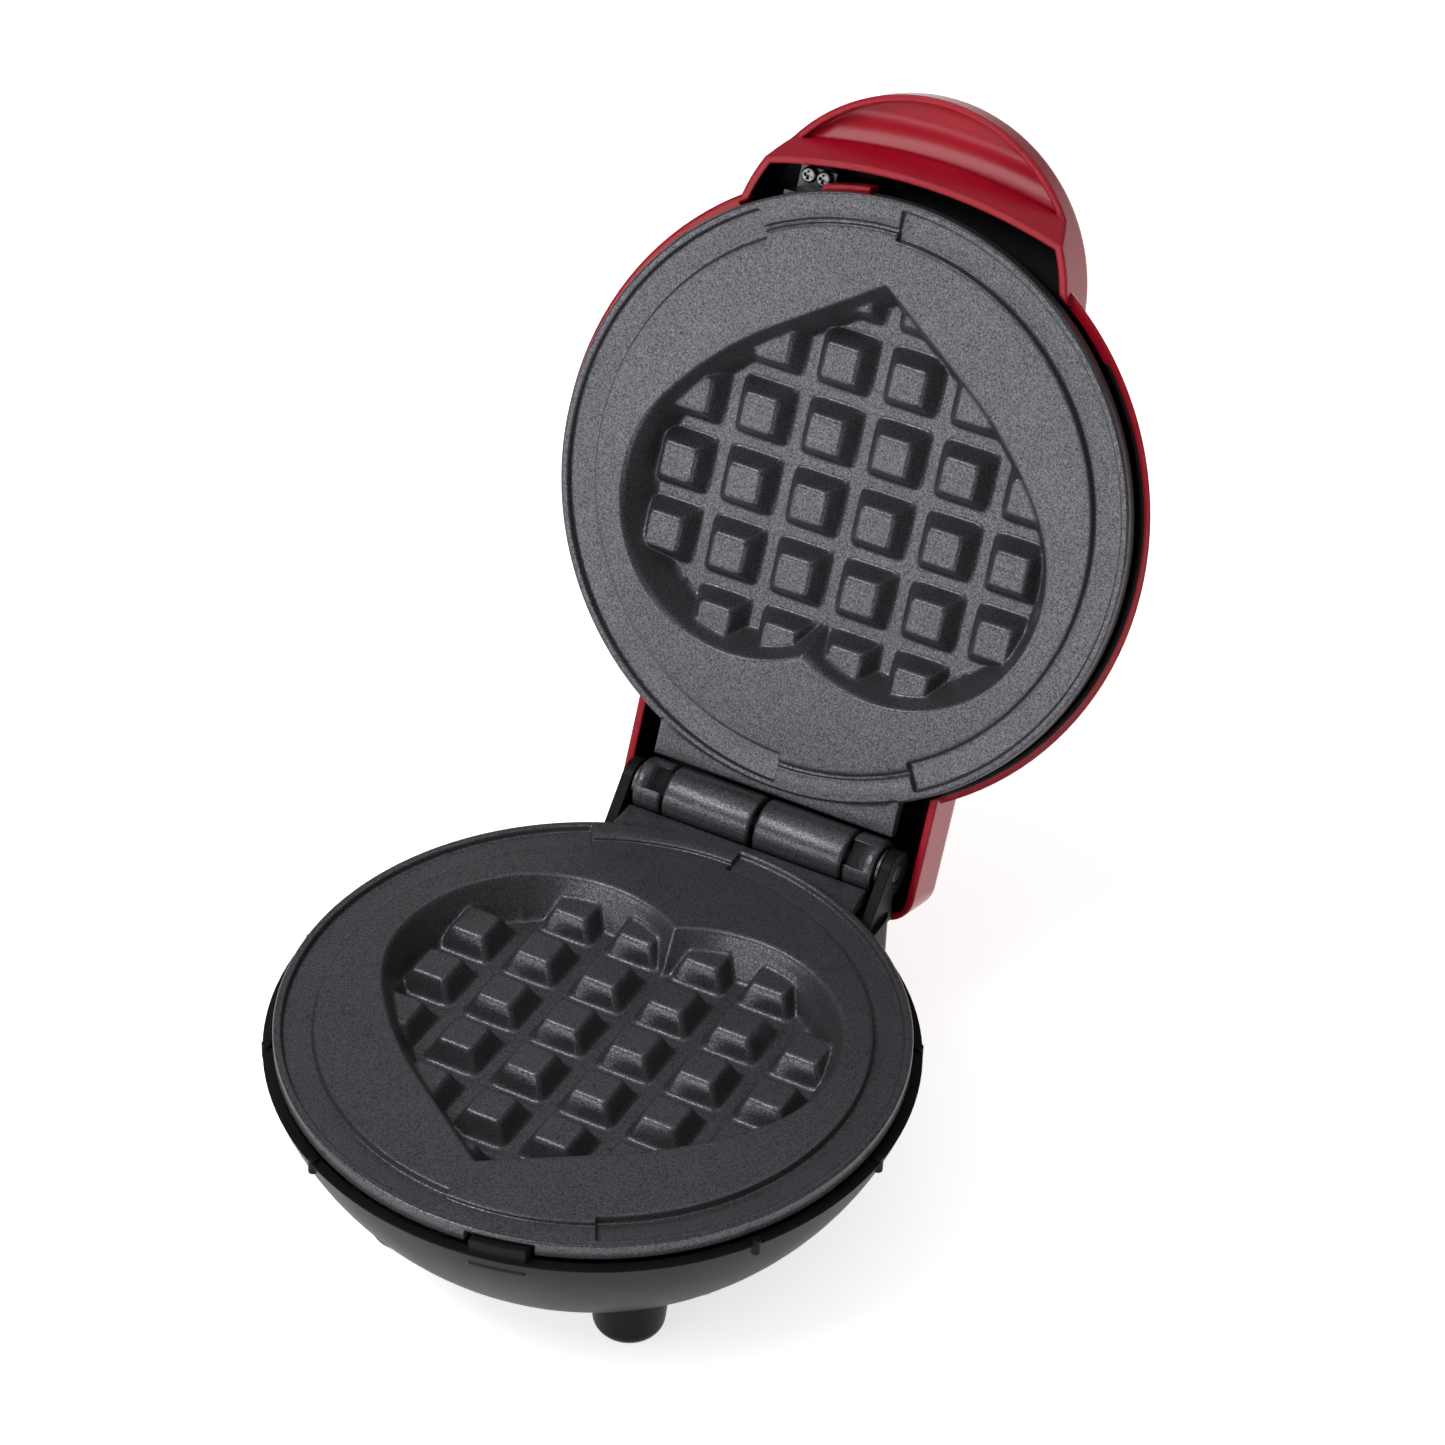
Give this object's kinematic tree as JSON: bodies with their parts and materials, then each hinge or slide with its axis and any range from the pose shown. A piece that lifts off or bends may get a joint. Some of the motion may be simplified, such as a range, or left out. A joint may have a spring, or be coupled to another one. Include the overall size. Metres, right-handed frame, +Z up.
{
  "type": "waffle maker",
  "caption": "Small round waffle maker with a heart-shaped grid mould in both plates, a rear hinge and a lid that stands open on its stop.",
  "frame": {"origin": "middle of the open machine's footprint box, on the table under the feet", "axes": "+Z up, +Y from the front of the base towards the hinge and the open lid, +X to the right seen from the front"},
  "size_m": [0.1226, 0.1961, 0.1728],
  "materials": {
    "dark_shell": "satin charcoal moulded plastic",
    "red_shell": "glossy deep red moulded plastic",
    "plate": "cast aluminium plate with grey speckled non-stick coating",
    "rubber_foot": "matt black",
    "steel": "plain steel",
    "bright_steel": "nickel plated screw heads",
    "sheet_metal": "thin reflector sheet",
    "heater_sheath": "heat-darkened sheath",
    "brass": "plain brass",
    "black_plastic": "black moulded plastic",
    "ceramic": "pale heat-resistant block",
    "lens": "red translucent lens",
    "lead": "woven heat-proof sleeve"
  },
  "bodies": {
    "base": {"base_housing": "dark_shell", "bottom_cover": "dark_shell", "bottom_cover_screws": "steel", "foot_front_left": "rubber_foot", "foot_front_right": "rubber_foot", "foot_rear_left": "rubber_foot", "foot_rear_right": "rubber_foot", "lower_plate": "plate", "lower_plate_screws": "steel", "lower_heater": "heater_sheath", "lower_heater_clamps": "steel", "lower_heater_clamp_screws": "steel", "lower_reflector": "sheet_metal", "thermostat": "ceramic", "thermostat_clip": "steel", "thermal_fuse": "ceramic", "fuse_clip": "steel", "terminal_block": "ceramic", "terminal_screws": "brass", "cord_gland": "black_plastic", "cord_clamp": "black_plastic", "cord_clamp_screws": "steel", "feed_leads": "lead", "heater_lead_left": "lead", "heater_lead_right": "lead", "hinge_pin": "steel", "hinge_washers": "steel"},
    "lid": {"lid_shell": "red_shell", "lid_bracket": "bright_steel", "lid_bracket_screws": "bright_steel", "indicator_lens": "lens", "indicator_lamp": "ceramic", "lid_leads": "lead", "upper_plate": "plate", "upper_heater": "heater_sheath", "upper_heater_clamps": "steel", "upper_heater_clamp_screws": "steel", "upper_reflector": "sheet_metal", "upper_reflector_screws": "steel"}
  },
  "joints": [
    {"name": "lid_hinge", "type": "hinge", "parent": "base", "child": "lid", "pos_m": [0, 0.0299, 0.0425], "axis": [1, 0, 0], "range_deg": [0, 112]}
  ]
}
